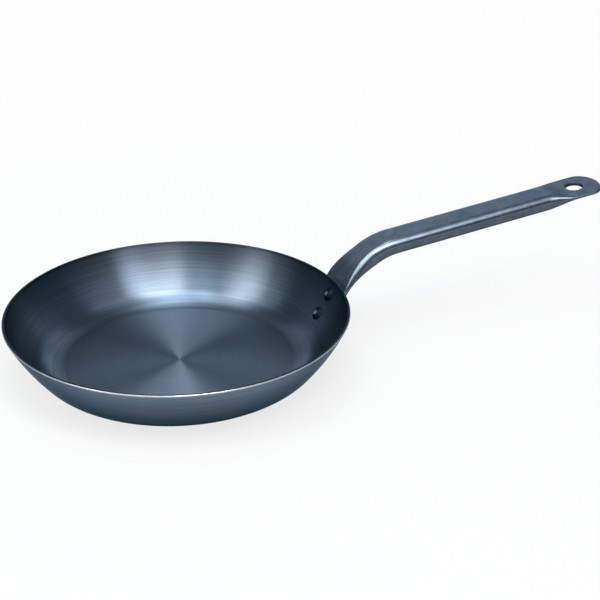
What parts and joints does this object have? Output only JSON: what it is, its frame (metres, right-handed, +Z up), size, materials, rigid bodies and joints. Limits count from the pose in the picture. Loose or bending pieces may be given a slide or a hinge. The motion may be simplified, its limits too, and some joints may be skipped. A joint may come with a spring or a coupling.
{
  "type": "frying pan",
  "caption": "Shallow round pressed-steel frying pan with flared walls and a long hollow tube handle, flattened and riveted at the wall and pierced at its tip for hanging.",
  "frame": {"origin": "centre of the underside of the flat base", "axes": "+X along the handle from the bowl's axis to the tip, +Z up out of the bowl, +Y across"},
  "size_m": [0.4531, 0.24, 0.0896],
  "materials": {
    "pan_steel": "blue-grey steel sheet, brushed in rings",
    "handle_steel": "smooth satin blue-grey steel tube",
    "rivet_steel": "dark steel, pressed and smooth"
  },
  "bodies": {
    "root": {"pan_bowl": "pan_steel", "handle_tube": "handle_steel", "rivet_upper": "rivet_steel", "rivet_lower": "rivet_steel"}
  },
  "joints": []
}
